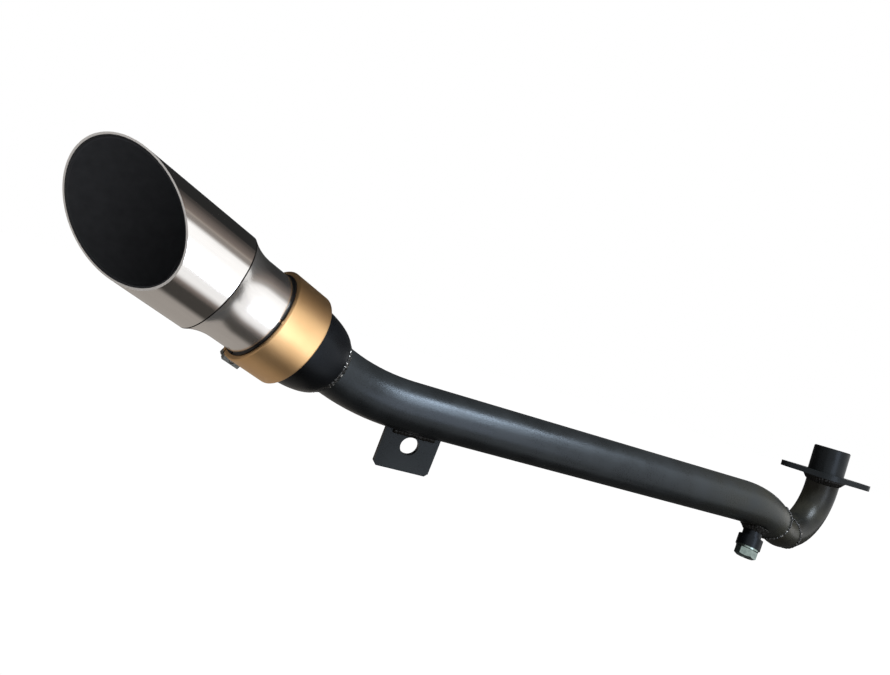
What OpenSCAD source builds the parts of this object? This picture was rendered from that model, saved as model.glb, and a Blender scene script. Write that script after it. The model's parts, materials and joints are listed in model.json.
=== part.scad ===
// Racing exhaust: a slash-cut can muffler clamped to a bent pipe with a two-stud inlet flange.
// The origin is the centre of the flange's upper face. +Z points up the inlet spigot, and the
// main pipe runs toward -X. Sizes are in millimetres and angles in degrees. Every piece is
// placed by following the gas from the inlet, with local +Z along the flow and each bend
// turning toward local +X.

/* [Inlet flange] */
// Length of the flange plate over its two ears
flange_l = 87; // [82:1:96]
// Diameter of the round middle of the flange plate
flange_mid_d = 48; // [46:1:56]
// Thickness of the flange plate
flange_t = 5.5; // [3:0.5:8]
// Distance between the two stud holes
stud_pitch = 66; // [62:1:68]
// Diameter of a stud hole
stud_hole_d = 8.5; // [8:0.1:9.5]
// Turn of the line through the studs about the spigot
flange_turn = -38; // [-90:1:90]
// Outer diameter of the inlet spigot
spigot_d = 34; // [33:0.5:38]
// Wall of the inlet spigot
spigot_wall = 3; // [2:0.1:3.5]
// Height of the spigot above the flange
spigot_h = 26; // [15:0.5:40]
// Chamfer on the spigot's upper edge
spigot_chamfer = 1; // [0.5:0.1:1.5]
// Step by which the spigot's root is smaller, so that it seats on the flange
spigot_step = 0.5; // [0.3:0.1:1]

/* [Header elbow and link] */
// Outer diameter of the elbow and link tube
header_d = 31.2; // [29:0.2:32]
// Wall of the elbow and link tube
header_wall = 1.5; // [1:0.1:2.5]
// Lean of the header away from the inlet's axis
header_lean = 7; // [1:0.5:10]
// Turn of the lean's hinge line about the inlet's axis
lean_turn = -57; // [-180:1:180]
// Straight stub of the elbow under the flange
header_stub = 9; // [5.5:0.5:20]
// Bend radius of the elbow and link
elbow_radius = 48; // [40:1:70]
// Angle that the elbow turns before its seam
elbow_angle = 91.5; // [60:0.5:95]
// Turn of the elbow's plane about the spigot
elbow_turn = 169; // [120:1:200]
// Straight length on each side of the elbow seam
seam_straight = 2; // [2:0.5:10]
// Angle that the link turns after the seam
link_angle = 28.5; // [10:0.5:40]
// Straight end of the link outside the main pipe
link_straight = 15.5; // [7:0.5:30]
// Depth of the link inside the main pipe
link_lap = 3; // [2.5:0.5:3.5]

/* [Main pipe] */
// Outer diameter of the main pipe
main_d = 38; // [36:0.5:42]
// Wall of the main pipe
main_wall = 1.5; // [1:0.1:2.2]
// Straight front end of the main pipe
main_front = 4; // [4:0.5:30]
// Bend radius of the dip near the inlet
dip_radius = 107; // [90:1:160]
// Angle of the dip near the inlet
dip_angle = 28; // [15:0.5:40]
// Turn of the dip's plane about the pipe
dip_turn = 143; // [100:1:180]
// Length of the long straight run
main_run = 341.5; // [330:0.5:450]
// Bend radius of the kick up to the muffler
kick_radius = 143; // [90:1:180]
// Angle of the kick up to the muffler
kick_angle = 25.9; // [10:0.1:40]
// Turn of the kick's plane about the pipe
kick_turn = 175; // [120:1:220]
// Straight tail of the main pipe before the bell
main_tail = 10.5; // [6:0.5:40]
// Depth of the tail inside the bell
tail_lap = 6; // [3:1:12]

/* [Sensor bung and plug] */
// Angle round the dip at which the bung stands
bung_place = 11; // [10:0.5:16]
// Turn of the bung about the pipe
bung_turn = 44; // [0:1:90]
// Diameter of the bung's head
bung_d = 22; // [20:0.5:26]
// Height of the bung's head
bung_h = 10; // [8:0.5:14]
// Diameter of the bung's neck
bung_neck_d = 17; // [16:0.5:19]
// Height of the bung's neck over the pipe
bung_neck_h = 9; // [7:0.5:12]
// Thread diameter of the plug
plug_d = 12; // [10:0.5:13]
// Length of the plug's thread below its washer
plug_l = 16; // [12:1:18]
// Pitch of the plug's thread
plug_pitch = 1.25; // [1:0.25:1.5]
// Width of the plug's hexagon over its flats
plug_hex = 17; // [15:0.5:19]
// Height of the plug's hexagon
plug_hex_h = 8; // [6:0.5:10]
// Diameter of the plug's sealing washer
plug_washer_d = 20; // [18:0.5:22]
// Thickness of the plug's sealing washer
plug_washer_t = 1.6; // [1:0.1:2]

/* [Frame tab] */
// Width of the tab along the pipe
tab_w = 45.5; // [36:0.5:60]
// Drop of the tab below the pipe
tab_drop = 31; // [26:1:45]
// Thickness of the tab
tab_t = 4; // [3:0.5:6]
// Place of the tab's middle along the straight run
tab_place = 330; // [150:1:335]
// Turn of the tab about the pipe
tab_turn = 27; // [-30:0.5:60]
// Diameter of the hole in the tab
tab_hole_d = 14.5; // [10:0.5:16]
// Drop of the hole's centre below the pipe
tab_hole_drop = 10.5; // [10:0.5:18]
// Leg of the clipped lower corners
tab_clip = 2.5; // [1:0.5:6]
// Distance of the tab's weld beads from its edges
tab_weld_set = 6; // [3:0.5:10]

/* [Bell and socket] */
// Length of the bell from its weld to the clamp
bell_l = 31.5; // [26:0.5:45]
// Outer diameter of the bell where the clamp starts
bell_d = 59.5; // [56:0.5:61]
// Fullness of the bell's curve, where a lower value is fuller
bell_curve = 0.65; // [0.5:0.05:0.9]
// Wall of the bell
bell_wall = 1.5; // [1.2:0.1:2]
// Wall of the slit socket under the clamp
socket_wall = 1.5; // [1.2:0.1:2]
// Reach of the socket past the clamp
socket_lip = 0.8; // [0.5:0.1:2]
// Width of the slits that let the socket close
slit_w = 2; // [1.5:0.1:3]
// Length of the slits
slit_l = 18; // [10:1:22]
// Number of slits
slit_n = 4; // [2:1:6]

/* [Clamp ring] */
// Outer diameter of the clamp ring
clamp_d = 69.5; // [69:0.5:78]
// Width of the clamp ring along the muffler
clamp_w = 29; // [26:0.5:36]
// Rounding of the clamp ring's outer edges
clamp_round = 1.2; // [0.8:0.1:2]
// Gap where the clamp ring is split
split_w = 2; // [1.5:0.1:3]
// Turn of the split about the muffler
split_turn = -158; // [-180:1:180]
// Length of the pinch block along the muffler
block_l = 13; // [11:0.5:22]
// Set-back of the pinch block from the clamp ring's end
block_set = 0.3; // [0.3:0.1:2]
// Half width of the pinch block across the split
block_half = 5; // [5:0.5:9]
// Height of the pinch block over the clamp ring
block_h = 3; // [3:0.1:5]
// Thread diameter of the pinch screw
screw_d = 4; // [3:0.5:4]
// Pitch of the pinch screw's thread
screw_pitch = 0.7; // [0.5:0.1:0.8]
// Diameter of the pinch screw's head
screw_head_d = 6.5; // [6:0.5:7]
// Height of the pinch screw's head
screw_head_h = 4; // [3:0.5:6]
// Width of the socket in the pinch screw's head
screw_key = 3; // [2:0.5:3.5]
// Depth of the socket in the pinch screw's head
screw_key_depth = 2; // [1:0.5:2.5]
// Drop of the pinch screw's axis below the middle of its block
screw_drop = 1.3; // [1:0.1:1.4]
// Distance of the pinch screw's tip inside its block
screw_short = 1; // [0.5:0.5:2]
// Diameter of the pinch screw's washer
screw_washer_d = 7; // [6.5:0.5:7.5]
// Thickness of the pinch screw's washer
screw_washer_t = 0.8; // [0.5:0.1:1.5]

/* [Muffler can] */
// Outer diameter of the muffler's neck
neck_d = 59.5; // [58:0.5:62]
// Wall of the neck and its reducer
neck_wall = 1.5; // [1:0.1:2]
// Depth of the neck inside the socket
neck_insert = 26; // [22:0.5:27]
// Neck length that shows past the clamp
neck_l = 18; // [10:0.5:40]
// Half angle of the reducer's cone
reducer_angle = 30; // [18:1:35]
// Radius of the fillet between neck and reducer
reducer_fillet = 34; // [6:1:40]
// Outer diameter of the can
can_d = 70; // [67:0.5:80]
// Wall of the can
can_wall = 1.5; // [1:0.1:2]
// Width of the flush seam between reducer and can
seam_w = 0.8; // [0.5:0.1:1.5]
// Depth of the seam below the can's surface
seam_sink = 0.3; // [0.1:0.1:0.6]
// Distance from the seam to the middle of the slash cut
slash_place = 65; // [58:0.5:110]
// Tilt of the slash cut from square
slash_tilt = 44.5; // [0:0.5:45]
// Turn of the slash cut about the muffler
slash_turn = -77; // [-180:1:180]

/* [Muffler inside] */
// Wall of the black liner
liner_wall = 0.8; // [0.6:0.1:1.5]
// Set-back of the liner from the slashed rim
liner_set = 1; // [0.5:0.1:3]
// Outer diameter of the perforated core
core_d = 42; // [38:0.5:48]
// Wall of the perforated core
core_wall = 1; // [0.8:0.1:1.5]
// Diameter of a perforation
core_hole_d = 4; // [3:0.5:5]
// Rows of perforations along the core
core_rows = 6; // [3:1:7]
// Perforations round each row
core_around = 10; // [6:2:12]
// Thickness of the two end plates
plate_t = 1.5; // [1:0.1:3]
// Distance from the seam to the rear end plate
rear_plate_place = 14; // [8:1:18]
// Reach of the core past the end plates
core_reach = 3; // [1:0.5:6]

/* [Welds and fits] */
// Leg of the large fillet welds across the tube
weld_leg = 4; // [3:0.1:5]
// Leg of the large fillet welds along the tube
weld_run = 5; // [3:0.1:5.5]
// Roundness of a fillet weld's face, from flat at 0 to a quarter round at 1
weld_crown = 0.15; // [0:0.05:0.5]
// Reach of the header weld past the main pipe
weld_over = 1; // [0:0.1:1.5]
// Leg of the small fillet welds
small_weld_leg = 3; // [2:0.1:4]
// Half width of the elbow's seam bead
seam_bead_half = 1.6; // [1:0.1:1.8]
// Height of the elbow's seam bead
seam_bead_h = 0.6; // [0.3:0.1:1]
// Clearance on the radius of a turning fit
turn_fit = 0.05; // [0.03:0.01:0.08]
// Clearance on the radius of a tacked or packed fit
loose_fit = 0.1; // [0.05:0.05:0.2]
// Clearance on the radius of a screw's plain hole
screw_room = 0.3; // [0.3:0.05:0.5]
// Gap under a seated screw head or washer
seat_gap = 0.05; // [0.02:0.01:0.1]
// Gap between the end of the neck and its stop
stop_gap = 0.5; // [0.3:0.1:1]

/* [Hidden] */
$fn = 96;

// Radii
spigot_r = spigot_d / 2;
root_r = spigot_r - spigot_step;
header_r = header_d / 2;
header_ir = header_r - header_wall;
lean_room = (header_r + weld_leg) * tan(header_lean);
main_r = main_d / 2;
main_ir = main_r - main_wall;
neck_r = neck_d / 2;
neck_ir = neck_r - neck_wall;
socket_ir = neck_r + turn_fit;
socket_r = socket_ir + socket_wall;
clamp_ir = socket_r + turn_fit;
clamp_r = clamp_d / 2;
can_r = can_d / 2;
can_ir = can_r - can_wall;
liner_r = can_ir - loose_fit;
liner_ir = liner_r - liner_wall;
core_r = core_d / 2;
plug_r = plug_d / 2;
screw_r = screw_d / 2;

// Ears of the flange
ear_r = (flange_l - stud_pitch) / 2;
mid_r = flange_mid_d / 2;
ear_slope = acos((mid_r - ear_r) / (stud_pitch / 2));

// Stations along the muffler's axis, from the bell's weld
clamp_z0 = bell_l;
clamp_z1 = clamp_z0 + clamp_w;
socket_z1 = clamp_z1 + socket_lip;
neck_z0 = socket_z1 - neck_insert;
stop_z = neck_z0 - stop_gap;
reducer_z0 = clamp_z1 + neck_l;
// Largest share of the reducer's rise that its fillet takes
fillet_share = 0.9;
fillet_r = min(reducer_fillet, fillet_share * (can_r - neck_r) / (1 - cos(reducer_angle)));
fillet_rise = fillet_r * (1 - cos(reducer_angle));
fillet_run = fillet_r * sin(reducer_angle);
reducer_run = fillet_run + (can_r - neck_r - fillet_rise) / tan(reducer_angle);
seam_z = reducer_z0 + reducer_run;
shell_z0 = seam_z + seam_w;
slash_z = seam_z + slash_place;
front_plate_z = neck_z0 + core_reach;
rear_plate_z = seam_z + rear_plate_place;
core_z0 = front_plate_z - core_reach;
core_z1 = rear_plate_z + plate_t + core_reach;

// Shape of the bell: its face at the weld, then a curve that ends along the axis
bell_face_r = main_r + loose_fit + small_weld_leg;
bell_steps = 14;
function bell_at(q) = bell_face_r + (bell_d / 2 - bell_face_r) * pow(1 - pow(1 - q, 2), bell_curve);

// Stations along the bung's axis, from the pipe's axis
bung_z1 = main_r + bung_neck_h;
bung_z2 = bung_z1 + bung_h;
washer_z = bung_z2 + seat_gap;
hex_z = washer_z + plug_washer_t + seat_gap;

// The pinch screw: its axis lies across the split, and its head is on the far side
screw_axis_r = clamp_r + block_h / 2 - screw_drop;
screw_z = clamp_z1 - block_set - block_l / 2;
screw_seat = block_half + seat_gap;
screw_head_z = screw_seat + screw_washer_t + seat_gap;
screw_tip = screw_short - block_half;

// Wall that a bend loses on each side as it is drawn
draw = 0.02;
// Reach of a straight tube into the bend that it joins
lap = 0.5;
// Flat facets in the face of a weld bead
weld_steps = 4;
// Reach of a cutting block, longer than any piece it trims
far = 400;
// Overlap of a cutting tool past the face that it opens
past = 1;

black = [0.10, 0.10, 0.11];
weld_black = [0.16, 0.15, 0.14];
brown_black = [0.19, 0.18, 0.15];
gold = [0.78, 0.62, 0.38];
steel = [0.74, 0.73, 0.71];
zinc = [0.70, 0.74, 0.72];

// Steps along the flow
module past_straight(run) translate([0, 0, run]) children();
module past_bend(radius, angle)
  translate([radius, 0, 0]) rotate([0, angle, 0]) translate([-radius, 0, 0]) children();

// Places along the flow, each reached from the one before
module at_header()
  translate([0, 0, -flange_t]) rotate(header_lean, [cos(lean_turn), sin(lean_turn), 0])
    rotate([180, 0, 0]) children();
module at_elbow() at_header() past_straight(header_stub) rotate([0, 0, elbow_turn]) children();
module at_elbow_end() at_elbow() past_bend(elbow_radius, elbow_angle) children();
module at_seam() at_elbow_end() past_straight(seam_straight) children();
module at_link() at_seam() past_straight(seam_straight) children();
module at_link_end() at_link() past_bend(elbow_radius, link_angle) children();
module at_main() at_link_end() past_straight(link_straight) children();
module at_dip() at_main() past_straight(main_front) rotate([0, 0, dip_turn]) children();
module at_run() at_dip() past_bend(dip_radius, dip_angle) children();
module at_kick() at_run() past_straight(main_run) rotate([0, 0, kick_turn]) children();
module at_tail() at_kick() past_bend(kick_radius, kick_angle) children();
module at_muffler() at_tail() past_straight(main_tail) children();

// The bung's own axis, outward from the pipe's centre
module at_bung()
  at_dip() past_bend(dip_radius, bung_place) rotate([0, 0, bung_turn]) rotate([0, 90, 0]) children();

// The pinch screw's own axis, from the split toward the head
module at_screw()
  at_muffler() rotate([0, 0, split_turn]) translate([screw_axis_r, 0, screw_z])
    rotate([90, 0, 0]) children();

// Solid rod that follows a bend toward local +X
module bent_rod(radius, angle, r)
  translate([radius, 0, 0]) rotate([-90, 0, 0]) rotate([0, 0, 180])
    rotate_extrude(angle = angle) translate([radius, 0]) circle(r = r);

// Tube that follows a bend toward local +X, drawn a little thinner than its straight ends
module bent_tube(radius, angle, r, ir)
  translate([radius, 0, 0]) rotate([-90, 0, 0]) rotate([0, 0, 180])
    rotate_extrude(angle = angle) translate([radius, 0]) difference() {
      circle(r = r - draw);
      circle(r = ir + draw);
    }

// Ring between two radii
module ring(r, ir, h) {
  difference() {
    cylinder(r = r, h = h);
    translate([0, 0, -past]) cylinder(r = ir, h = h + 2 * past);
  }
}

// Plain rod for a threaded shank, with a lead-in one pitch long at its tip
module threaded_rod(r, z0, z1, pitch)
  rotate_extrude() polygon([[0, z0], [r - pitch, z0], [r, z0 + pitch], [r, z1], [0, z1]]);

// Fillet weld round a tube, on a flat face at z = 0, with its leg up the tube, and a root behind the face
module fillet_ring(r, out, up, root = 0)
  rotate_extrude() polygon(concat(root > 0 ? [[r, -root], [r + out, -root]] : [[r, 0]],
    [for (i = [0 : weld_steps]) let (q = i / weld_steps, flat = 1 - weld_crown)
      [r + out * (flat * (1 - q) + weld_crown * cos(90 * q)),
       up * (flat * q + weld_crown * sin(90 * q))]]));

// What lies under the flange
module below_flange()
  intersection() {
    children();
    translate([0, 0, -flange_t - far]) cylinder(r = far, h = far);
  }

// Everything past the slash cut, with its plane moved back by set
module slash_cut(set = 0)
  translate([0, 0, slash_z - set]) rotate([0, 0, slash_turn]) rotate([0, slash_tilt, 0])
    translate([-far / 2, -far / 2, 0]) cube(far);

// Outer profile of neck, fillet and cone, moved in by inset, as points from the clamp outward
fillet_steps = 12;
function reducer_points(inset) = concat(
  [for (i = [0 : fillet_steps]) let (a = reducer_angle * i / fillet_steps)
    [neck_r - inset + (fillet_r + inset) * (1 - cos(a)),
     reducer_z0 + (fillet_r + inset) * sin(a)]],
  [[can_r - inset, seam_z + inset * tan(reducer_angle / 2)]]);

// Inlet
module inlet_spigot() {
  top = spigot_h - spigot_chamfer;
  color(black) rotate_extrude()
    polygon([[spigot_r - spigot_wall, -flange_t], [root_r, -flange_t], [root_r, 0], [spigot_r, 0],
      [spigot_r, top], [spigot_r - spigot_chamfer, spigot_h], [spigot_r - spigot_wall, spigot_h]]);
}

// Outline of the flange: two ears and a round middle, joined by their common tangents
arc_steps = 12;
function arc(c, r, a0, a1) = [for (i = [0 : arc_steps]) let (a = a0 + (a1 - a0) * i / arc_steps)
  [c + r * cos(a), r * sin(a)]];
module flange_outline()
  polygon(concat(arc(stud_pitch / 2, ear_r, -ear_slope, ear_slope),
    arc(0, mid_r, ear_slope, 180 - ear_slope),
    arc(-stud_pitch / 2, ear_r, 180 - ear_slope, 180 + ear_slope),
    arc(0, mid_r, 180 + ear_slope, 360 - ear_slope)));

module head_flange() {
  color(black) difference() {
    rotate([0, 0, flange_turn]) translate([0, 0, -flange_t]) linear_extrude(flange_t) flange_outline();
    translate([0, 0, -flange_t - past]) cylinder(r = root_r + loose_fit, h = flange_t + 2 * past);
    rotate([0, 0, flange_turn]) for (side = [-1, 1])
      translate([side * stud_pitch / 2, 0, -flange_t - past])
        cylinder(d = stud_hole_d, h = flange_t + 2 * past);
  }
}

module flange_weld()
  color(weld_black) below_flange() at_header() fillet_ring(header_r, weld_leg, weld_run, lean_room);

module header_elbow()
  color(brown_black) {
    below_flange() at_header() translate([0, 0, -lean_room])
      ring(header_r, header_ir, lean_room + header_stub + lap);
    at_elbow() bent_tube(elbow_radius, elbow_angle, header_r, header_ir);
    at_elbow_end() translate([0, 0, -lap]) ring(header_r, header_ir, seam_straight + lap);
  }

module elbow_seam()
  color(weld_black) at_seam() rotate_extrude()
    polygon([for (i = [0 : weld_steps]) let (a = 180 * i / weld_steps)
      [header_r + seam_bead_h * sin(a), -seam_bead_half * cos(a)]]);

module header_link()
  color(brown_black) {
    at_seam() ring(header_r, header_ir, seam_straight + lap);
    at_link() bent_tube(elbow_radius, link_angle, header_r, header_ir);
    at_link_end() translate([0, 0, -lap]) ring(header_r, header_ir, link_straight + link_lap + lap);
  }

module header_weld()
  color(weld_black) at_main() mirror([0, 0, 1])
    fillet_ring(header_r, main_r - header_r + weld_over, weld_run);

// Main pipe
module main_pipe() {
  color(black) {
    at_main() ring(main_r, main_ir, main_front + lap);
    difference() {
      at_dip() bent_tube(dip_radius, dip_angle, main_r, main_ir);
      at_bung() cylinder(r = plug_r + turn_fit, h = main_r + past);
    }
    at_run() translate([0, 0, -lap]) ring(main_r, main_ir, main_run + 2 * lap);
    at_kick() bent_tube(kick_radius, kick_angle, main_r, main_ir);
    at_tail() translate([0, 0, -lap]) ring(main_r, main_ir, main_tail + tail_lap + lap);
  }
}

// What the pipe takes up at the bung and at the tab
module dip_space() at_dip() bent_rod(dip_radius, dip_angle, main_r);
module run_space() at_run() cylinder(r = main_r, h = main_run + tab_w);

module sensor_bung() {
  color(black) difference() {
    at_bung() {
      translate([0, 0, main_ir]) cylinder(d = bung_neck_d, h = bung_z1 - main_ir);
      translate([0, 0, bung_z1]) cylinder(d = bung_d, h = bung_h);
    }
    dip_space();
    at_bung() cylinder(r = plug_r + turn_fit, h = bung_z2 + past);
  }
}

module bung_weld() {
  foot = bung_neck_d / 2 + small_weld_leg;
  color(weld_black) difference() {
    at_bung() translate([0, 0, main_ir])
      cylinder(r1 = foot + main_wall, r2 = bung_neck_d / 2, h = main_wall + small_weld_leg + past);
    dip_space();
    at_bung() cylinder(d = bung_neck_d, h = bung_z1);
  }
}

module plug_washer()
  color(zinc) at_bung() translate([0, 0, washer_z])
    ring(plug_washer_d / 2, plug_r + turn_fit, plug_washer_t);

module plug_bolt()
  color(zinc) at_bung() {
    threaded_rod(plug_r, bung_z2 - plug_l, hex_z, plug_pitch);
    translate([0, 0, hex_z]) intersection() {
      cylinder(d = plug_hex / cos(30), h = plug_hex_h, $fn = 6);
      cylinder(r1 = plug_hex / 2 + plug_hex_h, r2 = plug_hex / 2, h = plug_hex_h);
    }
  }

module tab_plate()
  at_run() rotate([0, 0, tab_turn]) translate([0, tab_t / 2, tab_place]) rotate([90, 0, 0])
    linear_extrude(tab_t) polygon([[main_ir, -tab_w / 2], [main_r + tab_drop - tab_clip, -tab_w / 2],
      [main_r + tab_drop, tab_clip - tab_w / 2], [main_r + tab_drop, tab_w / 2 - tab_clip],
      [main_r + tab_drop - tab_clip, tab_w / 2], [main_ir, tab_w / 2]]);

module frame_tab() {
  color(black) difference() {
    tab_plate();
    run_space();
    at_run() rotate([0, 0, tab_turn]) translate([main_r + tab_hole_drop, tab_t / 2 + past, tab_place])
      rotate([90, 0, 0]) cylinder(d = tab_hole_d, h = tab_t + 2 * past);
  }
}

module tab_weld() {
  bead_l = tab_w - 2 * tab_weld_set;
  color(weld_black) difference() {
    at_run() rotate([0, 0, tab_turn]) for (side = [-1, 1])
      translate([main_r, side * tab_t / 2, tab_place - bead_l / 2])
        cylinder(r = small_weld_leg, h = bead_l);
    tab_plate();
    run_space();
  }
}

// Bell, socket and clamp
module cone_weld()
  color(weld_black) at_muffler() mirror([0, 0, 1]) fillet_ring(main_r, small_weld_leg, weld_leg);

module bell_socket() {
  bore = main_r + loose_fit;
  curve = [for (i = [0 : bell_steps]) [bell_at(i / bell_steps), bell_l * i / bell_steps]];
  inside = [for (i = [bell_steps : -1 : 0]) let (q = i / bell_steps)
    [bell_at(q) - bell_wall, bell_l * q + bell_wall * (1 - q)]];
  flare_z = stop_z - stop_gap;
  color(black) at_muffler() difference() {
    rotate_extrude() polygon(concat([[bore, 0]], curve, [[socket_r, flare_z], [socket_r, socket_z1],
      [socket_ir, socket_z1], [socket_ir, stop_z], [bell_d / 2 - bell_wall, stop_z]], inside,
      [[bore, bell_wall]]));
    for (i = [0 : slit_n - 1]) rotate([0, 0, 360 * (i + 0.5) / slit_n])
      translate([neck_r - past, -slit_w / 2, socket_z1 - slit_l])
        cube([socket_wall + 2 * past, slit_w, slit_l + past]);
  }
}

// Quarter arc of the clamp ring's edge, from angle a0 on
edge_steps = 4;
function edge_arc(r, z, a0) = [for (i = [0 : edge_steps]) let (a = a0 + 90 * i / edge_steps)
  [r + clamp_round * cos(a), z + clamp_round * sin(a)]];

module clamp_ring() {
  core_edge = clamp_r - clamp_round;
  color(gold) difference() {
    at_muffler() union() {
      rotate_extrude() polygon(concat([[0, clamp_z0]],
        edge_arc(core_edge, clamp_z0 + clamp_round, -90),
        edge_arc(core_edge, clamp_z1 - clamp_round, 0), [[0, clamp_z1]]));
      rotate([0, 0, split_turn]) translate([0, -block_half, clamp_z1 - block_set - block_l])
        cube([clamp_r + block_h, 2 * block_half, block_l]);
    }
    at_muffler() translate([0, 0, clamp_z0 - past]) cylinder(r = clamp_ir, h = clamp_w + 2 * past);
    at_muffler() rotate([0, 0, split_turn]) translate([0, -split_w / 2, clamp_z0 - past])
      cube([clamp_r + block_h + past, split_w, clamp_w + 2 * past]);
    at_screw() cylinder(r = screw_r + screw_room, h = block_half + past);
    at_screw() translate([0, 0, block_half]) cylinder(r = screw_washer_d / 2 + screw_room, h = clamp_r);
    at_screw() translate([0, 0, -block_half - past])
      cylinder(r = screw_r + turn_fit, h = block_half + past);
  }
}

module clamp_washer()
  color(steel) at_screw() translate([0, 0, screw_seat])
    ring(screw_washer_d / 2, screw_r + screw_room, screw_washer_t);

module clamp_screw()
  color(steel) at_screw() difference() {
    union() {
      threaded_rod(screw_r, screw_tip, screw_head_z, screw_pitch);
      translate([0, 0, screw_head_z]) cylinder(d = screw_head_d, h = screw_head_h);
    }
    translate([0, 0, screw_head_z + screw_head_h - screw_key_depth])
      cylinder(d = screw_key / cos(30), h = screw_key_depth + past, $fn = 6);
  }

// Muffler
module neck_reducer() {
  inside = reducer_points(neck_wall);
  turned = [for (i = [len(inside) - 1 : -1 : 0]) inside[i]];
  color(steel) at_muffler() intersection() {
    rotate_extrude() polygon(concat([[neck_r, neck_z0]], reducer_points(0), turned, [[neck_ir, neck_z0]]));
    cylinder(r = far, h = seam_z);
  }
}

module can_seam()
  color(brown_black) at_muffler() translate([0, 0, seam_z])
    ring(can_r - seam_sink, can_ir, seam_w);

module outer_shell()
  color(steel) at_muffler() difference() {
    translate([0, 0, shell_z0]) ring(can_r, can_ir, slash_place + can_r);
    slash_cut();
  }

module inner_liner()
  color(black) at_muffler() difference() {
    translate([0, 0, shell_z0]) ring(liner_r, liner_ir, slash_place + can_r);
    slash_cut(liner_set);
  }

module front_plate()
  color(black) at_muffler() translate([0, 0, front_plate_z])
    ring(neck_ir - loose_fit, core_r + loose_fit, plate_t);

module rear_plate()
  color(black) at_muffler() translate([0, 0, rear_plate_z])
    ring(liner_ir - loose_fit, core_r + loose_fit, plate_t);

module perforated_core() {
  pitch = (rear_plate_z - front_plate_z - plate_t) / core_rows;
  color(black) at_muffler() difference() {
    translate([0, 0, core_z0]) ring(core_r, core_r - core_wall, core_z1 - core_z0);
    for (row = [0 : core_rows - 1], i = [0 : core_around - 1])
      translate([0, 0, front_plate_z + plate_t + pitch * (row + 0.5)])
        rotate([0, 90, 360 * (i + row % 2 / 2) / core_around])
          translate([0, 0, core_r - core_wall - past])
            cylinder(d = core_hole_d, h = core_wall + 2 * past);
  }
}

module packing() {
  skin = neck_wall + loose_fit;
  z0 = front_plate_z + plate_t + loose_fit;
  z1 = rear_plate_z - loose_fit;
  color("khaki") at_muffler() intersection() {
    rotate_extrude() polygon(concat([[core_r + loose_fit, z0], [neck_ir - loose_fit, z0]],
      [for (pt = reducer_points(skin)) if (pt[0] < liner_ir - loose_fit) pt],
      [[liner_ir - loose_fit, seam_z], [liner_ir - loose_fit, z1], [core_r + loose_fit, z1]]));
    cylinder(r = far, h = z1);
  }
}

inlet_spigot();
head_flange();
flange_weld();
header_elbow();
elbow_seam();
header_link();
header_weld();
main_pipe();
sensor_bung();
bung_weld();
plug_washer();
plug_bolt();
frame_tab();
tab_weld();
cone_weld();
bell_socket();
clamp_ring();
clamp_washer();
clamp_screw();
neck_reducer();
can_seam();
outer_shell();
inner_liner();
front_plate();
rear_plate();
perforated_core();
packing();
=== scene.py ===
import json
import math
import statistics

import bpy
import numpy as np
from mathutils import Matrix, Vector, noise


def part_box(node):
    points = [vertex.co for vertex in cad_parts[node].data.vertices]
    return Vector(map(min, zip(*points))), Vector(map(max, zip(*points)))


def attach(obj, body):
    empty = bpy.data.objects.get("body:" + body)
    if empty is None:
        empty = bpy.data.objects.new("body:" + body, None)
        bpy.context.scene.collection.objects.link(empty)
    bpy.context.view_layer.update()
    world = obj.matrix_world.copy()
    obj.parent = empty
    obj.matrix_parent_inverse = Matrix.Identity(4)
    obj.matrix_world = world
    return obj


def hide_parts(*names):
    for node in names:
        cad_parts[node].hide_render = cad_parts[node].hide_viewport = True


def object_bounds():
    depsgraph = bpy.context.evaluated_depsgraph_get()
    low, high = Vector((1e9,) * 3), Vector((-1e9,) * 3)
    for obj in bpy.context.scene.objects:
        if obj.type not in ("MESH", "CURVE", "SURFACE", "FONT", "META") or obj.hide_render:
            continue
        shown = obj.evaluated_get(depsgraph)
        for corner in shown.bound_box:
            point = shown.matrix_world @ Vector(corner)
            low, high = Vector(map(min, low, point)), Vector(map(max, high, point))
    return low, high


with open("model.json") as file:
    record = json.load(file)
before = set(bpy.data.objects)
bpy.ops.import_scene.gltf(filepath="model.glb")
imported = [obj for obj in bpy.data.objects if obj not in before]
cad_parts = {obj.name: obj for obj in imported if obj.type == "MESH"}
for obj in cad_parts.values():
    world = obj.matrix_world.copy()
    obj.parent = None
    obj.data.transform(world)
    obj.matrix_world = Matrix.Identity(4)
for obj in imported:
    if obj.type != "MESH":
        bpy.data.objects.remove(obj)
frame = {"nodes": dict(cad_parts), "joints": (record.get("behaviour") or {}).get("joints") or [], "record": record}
cad_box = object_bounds()
bpy.context.scene.view_settings.view_transform = "Standard"

MM = 0.001

# Camera: where it stands, how it is turned and its lens, all worked out from the photograph
CAMERA_AT = (-0.697823, -0.448482, 0.017872)
CAMERA_RIGHT = (0.85395, -0.43164, 0.29061)
CAMERA_DOWN = (0.26055, -0.12874, -0.95684)
CAMERA_LENS = 27.70
SENSOR_WIDTH = 36.0
CLIP_START = 0.01

# Stage: how far the floor lies below the object, its size and finish, how much it glows where it is
# seen, and how strong the white surroundings are as fill light
FLOOR_DROP = 0.30
FLOOR_HALF = 12.0
FLOOR_GREY = 0.8
FLOOR_ROUGH = 0.9
FLOOR_GLOW = 0.80
WORLD_FILL = 0.30

# Flat studio cards: the photographed part leans against its own frame, and so do they
LEAN = math.radians(7)
LEAN_AXIS = (0.545, -0.839, 0.0)
GROUND_SHADE = (0.08, 0.08, 0.08)
WINDOW_SHADE = (4.5, 4.8, 5.4)

# Curved studio cards: how far they run from the can's middle past the mouth, how far toward the pipe
# their shade stays even, and the degrees from row to row
MOUTH_SIDE = 3.5
NEAR_SIDE = 0.6
RING_STEP = 4

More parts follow.
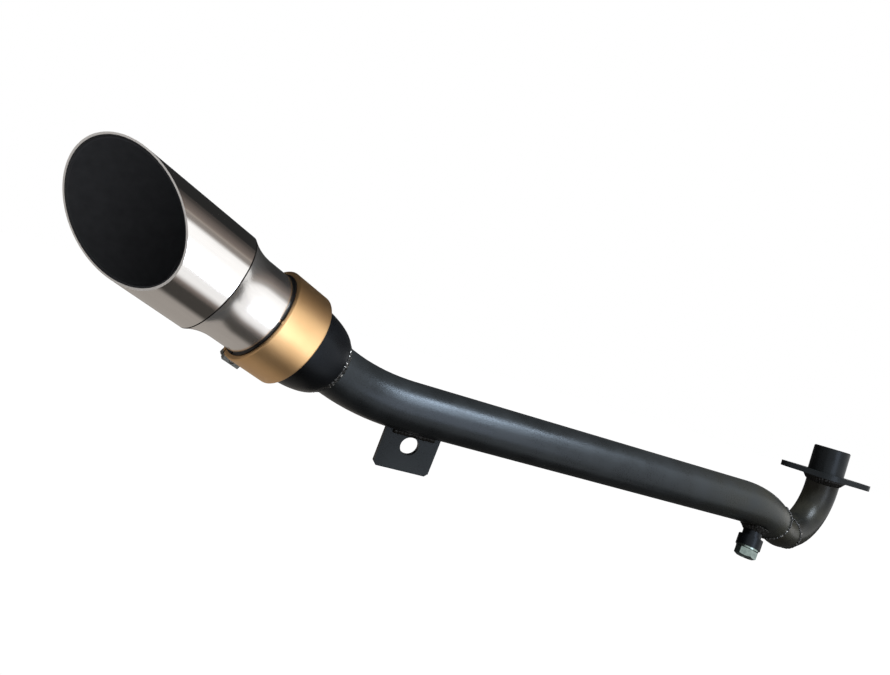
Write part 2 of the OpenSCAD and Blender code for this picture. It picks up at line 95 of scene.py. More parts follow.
# Shades of the curved cards, a few plain tones
CARD_BLACK = (0.025, 0.025, 0.025)
CARD_DARK = (0.06, 0.055, 0.05)
CARD_BROWN = (0.24, 0.20, 0.18)
CARD_TAUPE = (0.30, 0.27, 0.25)
CARD_WARM = (0.40, 0.37, 0.34)
CARD_LINE = (0.45, 0.40, 0.35)
CARD_PALE = (1.1, 1.1, 1.1)
CARD_WHITE = (1.3, 1.3, 1.3)

# Where each shade stands round the muffler, in degrees above the camera's side: the upper card comes
# from behind over the top, and the lower one goes on from there under the muffler to its back
UPPER_STOPS = [
    (205, CARD_BLACK), (108, CARD_BLACK), (79, CARD_BROWN), (76, CARD_LINE), (72, CARD_TAUPE),
    (65, CARD_TAUPE), (58, CARD_WHITE), (2, CARD_WHITE), (-9, CARD_PALE)]
LOWER_STOPS = [
    (-9, CARD_PALE), (-28, CARD_PALE), (-37, CARD_BROWN), (-46, CARD_DARK), (-70, CARD_DARK),
    (-81, CARD_WARM), (-150, CARD_WARM), (-177, CARD_BLACK)]

# Lamps: their colour, the bend that they point at and the run of pipe that their length follows
LAMP_BLUE = (0.80, 0.90, 1.0)
PIPE_BEND = (-0.45, -0.01, -0.03)
PIPE_RUN = (1.0, 0.10, -0.10)

# Weld beads: mesh pitch, the ripples' height, step, level and waver, the rough grain's height, how
# much a thick bead swells, the scales of both noises and the seed
BEAD_PITCH = 0.40 * MM
BEAD_RIPPLE = 0.55 * MM
BEAD_STEP = 3.0 * MM
BEAD_LEVEL = 0.6
BEAD_WAVER = 0.7
BEAD_GRAIN = 0.35 * MM
BEAD_SWELL = 0.40 * MM
WAVER_SCALE = 180
GRAIN_SCALE = 900
SEED = 7

# Wool: mesh pitch, how deep its tufts go, their level and swing, and the scales of tufts and strands
WOOL_PITCH = 1.6 * MM
WOOL_DEPTH = 0.9 * MM
WOOL_LEVEL = 0.6
WOOL_SWING = 0.35
TUFT_SCALE = 160
STRAND_SCALE = 420
STRAND_SHARE = 0.6

# Bolts: steps round a bolt, a multiple of six, and rows to one turn of thread
BOLT_STEPS = 72
THREAD_ROWS = 8
# Share of a bolt's length that is surely shank, and how much wider than the shank its head is
SHANK_SHARE = 0.3
HEAD_STEP = 1.25
# Threads: depth as a share of the pitch, turns over which they start, and how flat their crests are
THREAD_DEPTH = 0.61
THREAD_LEAD = 1.2
THREAD_CREST = 1.25
# A hexagon's angle from the middle of a flat to a corner, the plug's chamfer, the screw's knurl, and
# the angles past which edges are sharp
HEX_HALF = 30
PLUG_CHAMFER = 30
KNURL_DEPTH = 0.12 * MM
PLUG_SHARP = 26
SCREW_SHARP = 30

# Black paint: its colours, the tints of its sheen and the range of its roughness
COOL_BLACK = (0.0095, 0.0100, 0.0100)
# The bell's and the sensor bung's black is the same paint made darker: painted shade
SHADED_BLACK = (0.0032, 0.0034, 0.0040)
OLIVE_BLACK = (0.026, 0.024, 0.017)
BLUE_SHEEN = (0.78, 0.88, 1.0)
PALE_SHEEN = (0.95, 0.97, 1.0)
PAINT_SMOOTH = 0.24
PAINT_DULL = 0.39
# Places along X between which the heat changes the paint of the main pipe and of the header
PIPE_HEAT = (-0.24, -0.05)
HEADER_HEAT = (-0.075, -0.02)

# Welds: paint and bare specks, and how softly a speck starts
WELD_PAINT = (0.014, 0.013, 0.012)
WELD_BARE = (0.62, 0.60, 0.56)
SPECK_BLEND = 0.04

# Stainless steel: its colour, the stretch of its brushing, its sanded cut face, found by how far it
# faces along the muffler's axis, and the soot that starts this far outside its bore
STEEL = (0.80, 0.78, 0.76)
BRUSH_STRETCH = (900.0, 900.0, 9.0)
CUT_STEEL = (0.86, 0.85, 0.84)
CUT_FACING = (0.2, 0.3)
CUT_DULL = 0.35
SOOT = (0.018, 0.018, 0.020)
SOOT_DULL = 0.7
SOOT_START = 0.45 * MM
SOOT_FULL = 0.35 * MM

# Clamp: its gold, and the bare grey of the pinch block, which starts this far outside the ring
GOLD = (0.78, 0.51, 0.26)
DEEP_GOLD = (0.70, 0.44, 0.21)
BARE_GREY = (0.30, 0.31, 0.30)
BARE_START = 0.2 * MM
BARE_FULL = 0.3 * MM

# Other colours
ZINC = (0.24, 0.30, 0.28)
ZINC_SHADE = (0.15, 0.19, 0.18)
BRIGHT = (0.62, 0.62, 0.61)
BRIGHT_SHADE = (0.48, 0.48, 0.47)
SEAM_BLACK = (0.020, 0.018, 0.016)
LINER_BLACK = (0.072, 0.075, 0.083)
CORE_BLACK = (0.066, 0.068, 0.074)
WOOL_PALE = (0.74, 0.66, 0.38)
WOOL_DARK = (0.48, 0.40, 0.20)
WOOL_STRETCH = (240.0, 240.0, 1500.0)

# Nodes that wear another look than their slot's own
OWN_LOOKS = {
    "inlet_spigot": "inlet_black", "head_flange": "inlet_black", "neck_reducer": "neck_stainless",
    "bell_socket": "bell_shaded_black", "sensor_bung": "bell_shaded_black"}

# Where most of one noise lies, and of the sum of two
NOISE_RANGE = (0.3, 0.7)
PAIR_RANGE = (0.7, 1.3)

# Radii are the same when they agree to this many digits, in metres
RADIUS_DIGITS = 5

# Places of the colour sockets on a mix node
MIX_A = 6
MIX_B = 7
MIX_RESULT = 2

nodes = frame["nodes"]
record = frame["record"]
joints = {joint["name"]: joint for joint in frame["joints"]}
looks = {}

muffler_axis = Vector(joints["muffler_clock"]["axis"]).normalized()
muffler_place = Vector(joints["muffler_clock"]["pos_m"])


def muffler_radii(node):
    """Each vertex's distance from the muffler's axis."""
    return [(v.co - muffler_place).cross(muffler_axis).length for v in nodes[node].data.vertices]


shell_bore = min(muffler_radii("outer_shell"))

# The clamp's outer skin is where most of the ring's outer points lie
clamp_radii = muffler_radii("clamp_ring")
clamp_middle = (min(clamp_radii) + max(clamp_radii)) / 2
clamp_skin = statistics.mode([round(r, RADIUS_DIGITS) for r in clamp_radii if r > clamp_middle])

# Directions from the can across its axis: toward the camera, and up
CAN_MIDDLE = (Vector(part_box("outer_shell")[0]) + Vector(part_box("outer_shell")[1])) / 2
toward = Vector(CAMERA_AT) - CAN_MIDDLE
toward = (toward - toward.dot(muffler_axis) * muffler_axis).normalized()
upward = muffler_axis.cross(toward)
upward = upward if upward.z > 0 else -upward


def scaled(colour, share):
    """A colour made darker or lighter."""
    return tuple(share * c for c in colour)


class Shader:
    """A look: a node material with one Principled shader, built by short calls."""

    def __init__(self, name, **sockets):
        material = bpy.data.materials.new(name)
        material.use_nodes = True
        looks[name] = material
        self.tree = material.node_tree
        self.shader = self.tree.nodes["Principled BSDF"]
        for socket, value in sockets.items():
            self.shader.inputs[socket.replace("_", " ")].default_value = value
        self.place = self.tree.nodes.new("ShaderNodeTexCoord").outputs["Object"]

    def add(self, kind, *links, **values):
        """A new node, with links to its sockets and with fixed values."""
        node = self.tree.nodes.new("ShaderNode" + kind)
        for key, value in values.items():
            if hasattr(node, key):
                setattr(node, key, value)
            else:
                node.inputs[key].default_value = value
        for source, socket in links:
            self.tree.links.new(source, node.inputs[socket])
        return node

    def along(self, axis, stretch):
        """Coordinates with their Z along an axis, each scaled by stretch."""
        turn = axis.rotation_difference(Vector((0, 0, 1))).to_euler()
        turned = self.add("Mapping", (self.place, "Vector"), Rotation=turn)
        return self.add("Mapping", (turned.outputs["Vector"], "Vector"), Scale=stretch).outputs["Vector"]

    def vector(self, operation, value, fixed):
        """A vector with a fixed vector taken off it or multiplied with it."""
        node = self.add("VectorMath", (value, 0), operation=operation)
        node.inputs[1].default_value = fixed
        return node

    def radius(self):
        """Distance from the muffler's axis."""
        reach = self.vector("SUBTRACT", self.place, muffler_place).outputs["Vector"]
        across = self.vector("CROSS_PRODUCT", reach, muffler_axis).outputs["Vector"]
        return self.add("VectorMath", (across, 0), operation="LENGTH").outputs["Value"]

    def facing(self):
        """How far the surface faces along the muffler's axis."""
        normal = self.add("NewGeometry").outputs["True Normal"]
        return self.vector("DOT_PRODUCT", normal, muffler_axis).outputs["Value"]

    def noise(self, scale, detail=2.0, rough=0.5, where=None):
        node = self.add("TexNoise", (where or self.place, "Vector"), Scale=scale, Detail=detail)
        node.inputs["Roughness"].default_value = rough
        return node.outputs["Fac"]

    def span(self, value, low, high, to_low=0.0, to_high=1.0):
        """Stretches the range from low to high over another one."""
        node = self.add("MapRange", (value, "Value"))
        node.inputs["From Min"].default_value = low
        node.inputs["From Max"].default_value = high
        node.inputs["To Min"].default_value = to_low
        node.inputs["To Max"].default_value = to_high
        return node.outputs["Result"]

    def spread(self, value, to_low=0.0, to_high=1.0):
        """Stretches a noise over a range."""
        return self.span(value, *NOISE_RANGE, to_low, to_high)

    def spread_pair(self, a, b, to_low, to_high):
        """Stretches the sum of two noises over a range."""
        return self.span(self.plus(a, b), *PAIR_RANGE, to_low, to_high)

    def fade(self, value, start, end):
        """Goes from start to end as a value goes from 0 to 1."""
        return self.span(value, 0.0, 1.0, start, end)

    def plus(self, a, b):
        return self.add("Math", (a, 0), (b, 1), operation="ADD").outputs["Value"]

    def mix(self, factor, a, b):
        """Goes from colour a to colour b, each fixed or linked."""
        node = self.add("Mix", (factor, "Factor"), data_type="RGBA")
        for place, colour in ((MIX_A, a), (MIX_B, b)):
            if isinstance(colour, tuple):
                node.inputs[place].default_value = (*colour, 1.0)
            else:
                self.tree.links.new(colour, node.inputs[place])
        return node.outputs[MIX_RESULT]

    def feed(self, socket, value):
        self.tree.links.new(value, self.shader.inputs[socket])

    def roughness(self, value, smooth, dull):
        """Roughness that follows a noise."""
        self.feed("Roughness", self.spread(value, smooth, dull))

    def bump(self, height, depth, strength):
        node = self.add("Bump", (height, "Height"), Distance=depth, Strength=strength)
        self.feed("Normal", node.outputs["Normal"])


def satin_black(name, cool, shine, tint, warm=None, heat=None):
    """Satin black paint over steel, that turns warm between the places along X in heat, where given."""
    look = Shader(name, Specular_IOR_Level=shine, Specular_Tint=(*tint, 1.0))
    blotch = look.noise(scale=38.0, detail=4.0)
    grain = look.noise(scale=900.0)
    base = cool
    if heat:
        split = look.add("SeparateXYZ", (look.place, "Vector"))
        base = look.mix(look.span(split.outputs["X"], *heat), cool, warm)
    worn = look.span(blotch, low=0.35, high=0.75)
    look.feed("Base Color", look.mix(worn, base, scaled(cool, 1.6)))
    look.feed("Roughness", look.spread_pair(blotch, grain, PAINT_SMOOTH, PAINT_DULL))
    look.bump(look.plus(grain, look.noise(scale=2600.0, detail=1.0)), depth=0.05 * MM, strength=0.5)


def weld_metal(name, speck_edge, shine):
    """Rough weld under thin black paint, with bright specks where the paint broke away."""
    look = Shader(name, Specular_IOR_Level=shine)
    lumps = look.noise(scale=420.0, detail=3.0)
    speck = look.noise(scale=650.0, detail=1.0, rough=0.4)
    bare = look.span(speck, speck_edge, speck_edge + SPECK_BLEND)
    look.feed("Base Color", look.mix(bare, WELD_PAINT, WELD_BARE))
    look.feed("Metallic", bare)
    look.roughness(lumps, smooth=0.28, dull=0.55)
    look.bump(lumps, depth=0.25 * MM, strength=0.7)


def brushed_stainless(name, smooth, dull, bore=None):
    """Steel brushed along the muffler's axis. Round a bore, its cut is sanded and its inside sooty."""
    look = Shader(name, Metallic=1.0)
    streak = look.noise(scale=1.0, detail=3.0, rough=0.6, where=look.along(muffler_axis, BRUSH_STRETCH))
    cloud = look.noise(scale=22.0, detail=3.0)
    tint = look.mix(look.spread(cloud), STEEL, scaled(STEEL, 0.95))
    colour = look.mix(look.spread(streak, to_high=0.5), tint, scaled(STEEL, 0.88))
    gloss = look.spread_pair(streak, cloud, smooth, dull)
    if bore:
        cut = look.span(look.facing(), *CUT_FACING)
        inside = look.span(look.radius(), bore + SOOT_START, bore + SOOT_FULL)
        colour = look.mix(inside, look.mix(cut, colour, CUT_STEEL), SOOT)
        gloss = look.plus(gloss, look.fade(cut, 0.0, CUT_DULL))
        gloss = look.plus(gloss, look.fade(inside, 0.0, SOOT_DULL))
        look.feed("Metallic", look.fade(inside, 1.0, 0.0))
    look.feed("Base Color", colour)
    look.feed("Roughness", gloss)
    look.bump(streak, depth=0.008 * MM, strength=0.6)


def gold_anodised(name, skin):
    """Bead-blasted aluminium with a gold anodised skin, bare where it stands out past the skin's radius."""
    look = Shader(name, Metallic=1.0)
    cloud = look.noise(scale=30.0, detail=3.0)
    grain = look.noise(scale=2200.0)
    gold = look.mix(look.spread(cloud), GOLD, DEEP_GOLD)
    bare = look.span(look.radius(), skin + BARE_START, skin + BARE_FULL)
    look.feed("Base Color", look.mix(bare, gold, BARE_GREY))
    look.roughness(grain, smooth=0.34, dull=0.46)
    look.bump(grain, depth=0.02 * MM, strength=0.5)


def plated(name, colour, shade, smooth, dull):
    """Bright plating with small cloudy marks."""
    look = Shader(name, Metallic=1.0)
    cloud = look.noise(scale=260.0, detail=3.0)
    look.feed("Base Color", look.mix(look.span(cloud, low=0.35, high=0.7), colour, shade))
    look.roughness(cloud, smooth, dull)
    look.bump(look.noise(scale=1500.0), depth=0.012 * MM, strength=0.5)


def soot_black(name, colour, smooth):
    """Matt soot with a faint grain."""
    look = Shader(name, Specular_IOR_Level=0.08)
    soot = look.noise(scale=160.0, detail=4.0)
    look.feed("Base Color", look.mix(look.spread(soot), colour, scaled(colour, 0.85)))
    look.roughness(soot, smooth, dull=1.0)
    look.bump(look.noise(scale=1100.0), depth=0.05 * MM, strength=0.5)


def glass_wool(name):
    """Loose yellow glass wool, with its fibres across the muffler's axis."""
    look = Shader(name, Specular_IOR_Level=0.1, Sheen_Weight=0.4)
    fibre = look.noise(scale=1.0, detail=4.0, rough=0.7, where=look.along(muffler_axis, WOOL_STRETCH))
    look.feed("Base Color", look.mix(look.spread(fibre), WOOL_PALE, WOOL_DARK))
    look.roughness(fibre, smooth=0.8, dull=1.0)
    look.bump(fibre, depth=0.5 * MM, strength=0.8)


def make_looks():
    """Fills looks with every material of the object, by name."""
    satin_black("satin_black", COOL_BLACK, shine=0.22, tint=BLUE_SHEEN, warm=OLIVE_BLACK, heat=PIPE_HEAT)
    satin_black("header_black", OLIVE_BLACK, shine=0.16, tint=PALE_SHEEN, warm=COOL_BLACK, heat=HEADER_HEAT)
    satin_black("inlet_black", COOL_BLACK, shine=0.14, tint=BLUE_SHEEN)
    # The bell and the sensor bung wear the pipe's paint made darker: painted shade
    satin_black("bell_shaded_black", SHADED_BLACK, shine=0.17, tint=BLUE_SHEEN)
    weld_metal("weld_black", speck_edge=0.67, shine=0.4)
    weld_metal("weld_smooth", speck_edge=0.80, shine=0.15)
    brushed_stainless("brushed_stainless", smooth=0.10, dull=0.16, bore=shell_bore)
    brushed_stainless("neck_stainless", smooth=0.19, dull=0.26)
    gold_anodised("gold_anodised", clamp_skin)
    plated("zinc", ZINC, ZINC_SHADE, smooth=0.16, dull=0.30)
    plated("bright_steel", BRIGHT, BRIGHT_SHADE, smooth=0.22, dull=0.36)
    soot_black("seam_dark", SEAM_BLACK, smooth=0.5)
    soot_black("inner_black", LINER_BLACK, smooth=0.85)
    soot_black("core_steel", CORE_BLACK, smooth=0.7)
    glass_wool("glass_wool")


def dress(piece, look):
    """Gives a piece one material."""
    piece.data.materials.clear()
    piece.data.materials.append(looks[look])


def dress_nodes():
    """Gives every solid its own look, or else its slot's."""
    slots = {part["node"]: part["material_slot"] for part in record["subparts"]}
    for name, solid in nodes.items():
        dress(solid, OWN_LOOKS.get(name, slots[name]))


def wearing(*names):
    """The pieces that wear one of the named looks."""
    worn = [looks[name] for name in names]
    meshes = [piece for piece in bpy.data.objects if piece.type == "MESH" and piece.data.materials]
    return [piece for piece in meshes if piece.data.materials[0] in worn]


def put(name, data):
    """A new object in the scene."""
    thing = bpy.data.objects.new(name, data)
    bpy.context.scene.collection.objects.link(thing)
    return thing


def put_mesh(name, spots, faces):
    """A new object with a mesh of its own."""
    mesh = bpy.data.meshes.new(name)
    mesh.from_pydata(spots, [], faces)
    return put(name, mesh)


def placed(place, x, y, z):
    """The matrix of a thing at a place, with its axes along three directions."""
    return Matrix.Translation(place) @ Matrix((x, y, z)).transposed().to_4x4()


def add_camera():
    """The camera at the photograph's viewpoint."""
    right = Vector(CAMERA_RIGHT).normalized()
    back = right.cross(-Vector(CAMERA_DOWN)).normalized()
    camera = put("camera", bpy.data.cameras.new("camera"))
    camera.matrix_world = placed(CAMERA_AT, right, back.cross(right), back)
    camera.data.lens = CAMERA_LENS
    camera.data.sensor_width = SENSOR_WIDTH
    camera.data.clip_start = CLIP_START
    bpy.context.scene.camera = camera


def seen_rays(tree):
    """A value that is 1 for the camera, and for what metal and glass show."""
    path = tree.nodes.new("ShaderNodeLightPath")
    total = path.outputs["Is Camera Ray"]
    for name in ("Is Glossy Ray", "Is Transmission Ray"):
        node = tree.nodes.new("ShaderNodeMath")
        node.operation = "MAXIMUM"
        tree.links.new(total, node.inputs[0])
        tree.links.new(path.outputs[name], node.inputs[1])
        total = node.outputs["Value"]
    return total


def stage_material(piece, **sockets):
    """Gives a piece of the stage a material without gloss, and returns its node tree and shader."""
    material = bpy.data.materials.new(piece.name)
    material.use_nodes = True
    piece.data.materials.append(material)
    shader = material.node_tree.nodes["Principled BSDF"]
    shader.inputs["Specular IOR Level"].default_value = 0.0
    for socket, value in sockets.items():
        shader.inputs[socket.replace("_", " ")].default_value = value
    return material.node_tree, shader


def add_floor():
    """A pale floor that reads as white and keeps the object's shadow."""
    half = FLOOR_HALF
    corners = [(-half, -half, 0), (half, -half, 0), (half, half, 0), (-half, half, 0)]
    floor = put_mesh("floor", corners, [(0, 1, 2, 3)])
    floor.location.z = cad_box[0][2] - FLOOR_DROP
    tree, shader = stage_material(
        floor, Base_Color=(FLOOR_GREY, FLOOR_GREY, FLOOR_GREY, 1.0), Roughness=FLOOR_ROUGH,
        Emission_Color=(1.0, 1.0, 1.0, 1.0))
    glow = tree.nodes.new("ShaderNodeMath")
    glow.operation = "MULTIPLY"
    glow.inputs[1].default_value = FLOOR_GLOW
    tree.links.new(seen_rays(tree), glow.inputs[0])
    tree.links.new(glow.outputs["Value"], shader.inputs["Emission Strength"])


def add_world():
    """White surroundings: full white where they are seen, softer as fill light."""
    world = bpy.data.worlds.new("white")
    world.use_nodes = True
    bpy.context.scene.world = world
    tree = world.node_tree
    back = tree.nodes["Background"]
    back.inputs["Color"].default_value = (1.0, 1.0, 1.0, 1.0)
    level = tree.nodes.new("ShaderNodeMapRange")
    level.inputs["To Min"].default_value = WORLD_FILL
    level.inputs["To Max"].default_value = 1.0
    tree.links.new(seen_rays(tree), level.inputs["Value"])
    tree.links.new(level.outputs["Result"], back.inputs["Strength"])


def add_softbox(name, place, size, power, lit):
    """A rectangular soft lamp along the pipe, that lights only some pieces."""
    light = bpy.data.lights.new(name, "AREA")
    light.shape = "RECTANGLE"
    light.size, light.size_y = size
    light.energy = power
    light.color = LAMP_BLUE
    away = (Vector(place) - Vector(PIPE_BEND)).normalized()
    side = (Vector(PIPE_RUN) - Vector(PIPE_RUN).dot(away) * away).normalized()
    lamp = put(name, light)
    lamp.matrix_world = placed(place, side, away.cross(side), away)
    group = bpy.data.collections.new(name)
    for piece in lit:
        group.objects.link(piece)
    lamp.light_linking.receiver_collection = group


def add_card(name, spots, faces, shades):
    """A studio card with a shade at each of its corners, that only reflections show."""
    card = put_mesh(name, spots, faces)
    layer = card.data.attributes.new("shade", "FLOAT_COLOR", "POINT")
    for item, shade in zip(layer.data, shades):
        item.color = (*shade, 1.0)
    tree, shader = stage_material(card, Base_Color=(0.0, 0.0, 0.0, 1.0), Emission_Strength=1.0)
    attribute = tree.nodes.new("ShaderNodeAttribute")
    attribute.attribute_name = "shade"
    tree.links.new(attribute.outputs["Color"], shader.inputs["Emission Color"])
    card.visible_camera = False
    card.visible_diffuse = False
    card.visible_shadow = False
    card.visible_transmission = False


def add_sheet(name, shade, corner, width, height):
    """A flat studio card from a corner along two sides, leaned as the photographed part is."""
    lean = Matrix.Rotation(LEAN, 3, Vector(LEAN_AXIS))
    start, across, up = lean @ Vector(corner), lean @ Vector(width), lean @ Vector(height)
    spots = [start, start + across, start + across + up, start + up]
    add_card(name, spots, [(0, 1, 2, 3)], [shade] * len(spots))


def add_ring(name, stops, reach, pipe_side, pipe_tone):
    """A card round the muffler's axis, shaded from stop to stop, with a least tone toward the pipe."""
    rows = stops[:1]
    for (low, first), (high, last) in zip(stops, stops[1:]):
        steps = max(1, round(abs(high - low) / RING_STEP))
        for step in range(1, steps + 1):
            share = step / steps
            rows.append((low + (high - low) * share, Vector(first).lerp(Vector(last), share)))
    sides = (-pipe_side, -NEAR_SIDE, MOUTH_SIDE)
    spots, shades, faces = [], [], []
    for degrees, shade in rows:
        angle = math.radians(degrees)
        out = CAN_MIDDLE + reach * (math.cos(angle) * toward + math.sin(angle) * upward)
        spots += [out + side * muffler_axis for side in sides]
        shades += [[max(tone, pipe_tone) for tone in shade], shade, shade]
    for row in range(len(rows) - 1):
        for column in range(len(sides) - 1):
            low = row * len(sides) + column
            high = low + len(sides)
            faces.append((low, low + 1, high + 1, high))
    add_card(name, spots, faces, shades)


def new_piece(name, mesh, body, node, look):
    """Puts a mesh in the scene as a piece that stands for a node, and hides the node."""
    piece = put(name, mesh)
    dress(piece, look)
    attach(piece, body)
    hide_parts(node)


def fine_mesh(node, pitch):
    """A copy of a node's mesh with even small faces."""
    rough = put(node + "_copy", nodes[node].data.copy())
    remesh = rough.modifiers.new("remesh", "REMESH")
    remesh.mode = "VOXEL"
    remesh.voxel_size = pitch
    graph = bpy.context.evaluated_depsgraph_get()
    mesh = bpy.data.meshes.new_from_object(rough.evaluated_get(graph))
    bpy.data.objects.remove(rough)
    mesh.shade_smooth()
    return mesh


def weld_bead(node, look="weld_smooth", swell=0.0, closed=True):
    """A lumpy rippled bead in the place of a weld's plain solid, closed to a ring or straight."""
    mesh = fine_mesh(node, BEAD_PITCH)
    spots = np.array([vertex.co for vertex in mesh.vertices])
    normals = np.array([vertex.normal for vertex in mesh.vertices])
    middle = spots.mean(axis=0)
    axes = np.linalg.eigh(np.cov((spots - middle).T))[1]
    if closed:
        flat = (spots - middle) @ axes[:, 1:]
        radius = np.hypot(flat[:, 0], flat[:, 1]).mean()
        place = np.arctan2(flat[:, 1], flat[:, 0]) * radius
        step = 2 * math.pi * radius / round(2 * math.pi * radius / BEAD_STEP)
    else:
        place = (spots - middle) @ axes[:, 2]
        step = BEAD_STEP
    for index, vertex in enumerate(mesh.vertices):
        spot = Vector(spots[index])
        waver = noise.noise(spot * WAVER_SCALE + Vector((SEED, 0, 0)))
        wave = abs(math.sin(math.pi * (place[index] / step + BEAD_WAVER * waver)))
        grain = noise.noise(spot * GRAIN_SCALE + Vector((0, SEED, 0)))
        rise = swell + BEAD_RIPPLE * (wave - BEAD_LEVEL) + BEAD_GRAIN * grain
        vertex.co = spots[index] + normals[index] * rise
    new_piece(node + "_bead", mesh, "pipe", node, look)


def wool_fill(node):
    """The muffler's loose wool, uneven and inside the space of its plain solid."""
    mesh = fine_mesh(node, WOOL_PITCH)
    spots = [(vertex.co.copy(), vertex.normal.copy()) for vertex in mesh.vertices]
    for vertex, (spot, normal) in zip(mesh.vertices, spots):
        tuft = noise.noise(spot * TUFT_SCALE) + STRAND_SHARE * noise.noise(spot * STRAND_SCALE)
        vertex.co = spot - normal * WOOL_DEPTH * (WOOL_LEVEL + WOOL_SWING * tuft)
    new_piece(node + "_wool", mesh, "muffler", node, "glass_wool")


class Turned:
    """Sizes of a bolt's solid, measured along the axis that it turns about."""

    def __init__(self, node, joint):
        self.axis = Vector(joints[joint]["axis"]).normalized()
        self.place = Vector(joints[joint]["pos_m"])
        ratio = {c["joint"]: c["ratio"] for c in record["behaviour"]["couplings"]}[joint]
        self.pitch = 2 * math.pi / ratio
        spots = [vertex.co - self.place for vertex in nodes[node].data.vertices]
        high = [spot.dot(self.axis) for spot in spots]
        wide = [spot.cross(self.axis).length for spot in spots]
        self.tip, self.top = min(high), max(high)
        self.head = max(wide)
        shank_top = self.tip + SHANK_SHARE * (self.top - self.tip)
        self.shank = max(w for h, w in zip(high, wide) if h < shank_top)
        self.seat = min(h for h, w in zip(high, wide) if w > HEAD_STEP * self.shank)
        side = self.axis.orthogonal().normalized()
        self.turn = Matrix((side, self.axis.cross(side), self.axis)).transposed()
        corner = self.turn.transposed() @ spots[wide.index(self.head)]
        self.phase = math.atan2(corner.y, corner.x)

    def thread(self):
        """Rows of a coarse screw thread from the tip to the seat."""
        grid = []
        depth = THREAD_DEPTH * self.pitch
        rows = int((self.seat - self.tip) / self.pitch * THREAD_ROWS)
        for row in range(rows + 1):
            rise = (self.seat - self.tip) * row / rows
            lead = min(1.0, rise / (THREAD_LEAD * self.pitch))
            ring = []
            for step in range(BOLT_STEPS):
                wave = abs(2 * ((rise / self.pitch - step / BOLT_STEPS) % 1.0) - 1)
                crest = min(1.0, THREAD_CREST * wave)
                ring.append((self.shank - depth * (1 - crest * lead), self.tip + rise))
            grid.append(ring)
        return grid

    def mesh(self, name, grid, sharp):
        """A closed mesh over rows of (radius, height), capped at both ends."""
        spots, faces = [], []
        for ring in grid:
            for step, (radius, height) in enumerate(ring):
                angle = self.phase + 2 * math.pi * step / BOLT_STEPS
                local = Vector((radius * math.cos(angle), radius * math.sin(angle), height))
                spots.append(self.place + self.turn @ local)
        for row in range(len(grid) - 1):
            for step in range(BOLT_STEPS):
                after = (step + 1) % BOLT_STEPS
                low, high = row * BOLT_STEPS, (row + 1) * BOLT_STEPS
                faces.append((low + step, low + after, high + after, high + step))
        faces.append(tuple(reversed(range(BOLT_STEPS))))
        last = (len(grid) - 1) * BOLT_STEPS
        faces.append(tuple(last + step for step in range(BOLT_STEPS)))
        mesh = bpy.data.meshes.new(name)
        mesh.from_pydata(spots, [], faces)
        mesh.shade_smooth()
        mesh.set_sharp_from_angle(angle=math.radians(sharp))
        return mesh


def even(radius, height):
    """A round row."""
    return [(radius, height)] * BOLT_STEPS


def hexagon(flat, height):
    """A six-sided row, with half its width across the flats given."""
    row = []
    for step in range(BOLT_STEPS):
        angle = (360 * step / BOLT_STEPS) % (2 * HEX_HALF) - HEX_HALF
        row.append((flat / math.cos(math.radians(angle)), height))
    return row


def drain_plug():
    """A chamfered hexagon plug with its thread and a shallow dish in its top."""
    bolt = Turned("plug_bolt", "plug_turn")
    flat = bolt.head * math.cos(math.radians(HEX_HALF))
    slope = math.tan(math.radians(PLUG_CHAMFER))
    foot = 0.92 * flat
    foot_top = bolt.seat + 0.4 * MM
    crown = 0.90 * flat
    shoulder = bolt.top - 0.2 * MM
    rim = 0.96 * crown
    dish = 0.60 * crown
    dish_floor = 0.55 * crown
    dish_low = bolt.top - 0.5 * MM
    grid = bolt.thread()
    grid += [even(foot, bolt.seat), hexagon(flat, foot_top)]
    grid += [[(wide, shoulder - (wide - crown) * slope) for wide, _ in hexagon(flat, shoulder)]]
    grid += [even(crown, shoulder), even(rim, bolt.top), even(dish, bolt.top), even(dish_floor, dish_low)]
    mesh = bolt.mesh("plug_head", grid, PLUG_SHARP)
    new_piece("plug_head", mesh, "plug", "plug_bolt", "zinc")


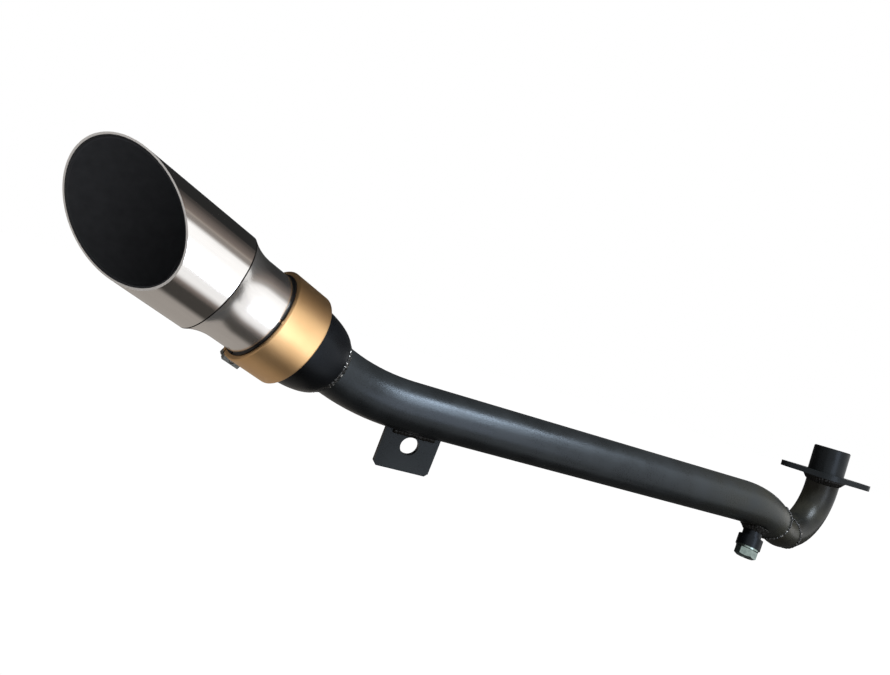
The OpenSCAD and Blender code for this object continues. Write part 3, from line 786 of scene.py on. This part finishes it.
def pinch_screw():
    """A knurled socket screw with its thread."""
    bolt = Turned("clamp_screw", "screw_turn")
    tall = bolt.top - bolt.seat
    foot = 0.96 * bolt.head
    bevel = 0.05 * tall
    knurl_top = bolt.top - 0.12 * tall
    shoulder = 0.97 * bolt.head
    rim = 0.90 * bolt.head
    key = 0.5 * bolt.head
    socket = 1.24 * key
    socket_floor = bolt.top - 0.5 * tall
    knurl = [bolt.head - KNURL_DEPTH * (step % 2) for step in range(BOLT_STEPS)]
    grid = bolt.thread()
    grid += [even(foot, bolt.seat)]
    grid += [[(wide, height) for wide in knurl] for height in (bolt.seat + bevel, knurl_top)]
    grid += [even(shoulder, bolt.top - bevel), even(rim, bolt.top), even(socket, bolt.top)]
    grid += [hexagon(key, bolt.top - bevel), hexagon(key, socket_floor)]
    mesh = bolt.mesh("pinch_screw", grid, SCREW_SHARP)
    new_piece("pinch_screw", mesh, "clamp_screw", "clamp_screw", "bright_steel")


def light_studio():
    """Cards for the muffler to mirror, and soft lamps for the black pieces."""
    add_ring("upper_card", UPPER_STOPS, reach=1.7, pipe_side=3.0, pipe_tone=0.15)
    add_ring("lower_card", LOWER_STOPS, reach=0.25, pipe_side=0.8, pipe_tone=0.0)
    add_sheet("ground_card", GROUND_SHADE,
              corner=(-0.5, -0.26, -0.25), width=(1.4, 0, 0), height=(0, 1.16, 0))
    add_sheet("window_card", WINDOW_SHADE,
              corner=(-0.36, -0.85, -0.35), width=(0.36, 0, 0), height=(0, 0, 0.75))
    paint = wearing("satin_black", "bell_shaded_black", "header_black", "inlet_black", "weld_black", "weld_smooth")
    pipe = wearing("satin_black")
    add_softbox("softbox", place=(-0.12, -0.68, 0.86), size=(0.6, 0.3), power=22.0, lit=paint)
    add_softbox("low_softbox", place=(-0.18, -0.95, 0.58), size=(0.55, 0.45), power=13.5, lit=pipe)


make_looks()
dress_nodes()
add_camera()
add_floor()
add_world()

for weld in ("header_weld", "elbow_seam", "cone_weld"):
    weld_bead(weld, "weld_black", BEAD_SWELL)
for weld in ("flange_weld", "bung_weld"):
    weld_bead(weld)
weld_bead("tab_weld", closed=False)
wool_fill("packing")
drain_plug()
pinch_screw()
light_studio()
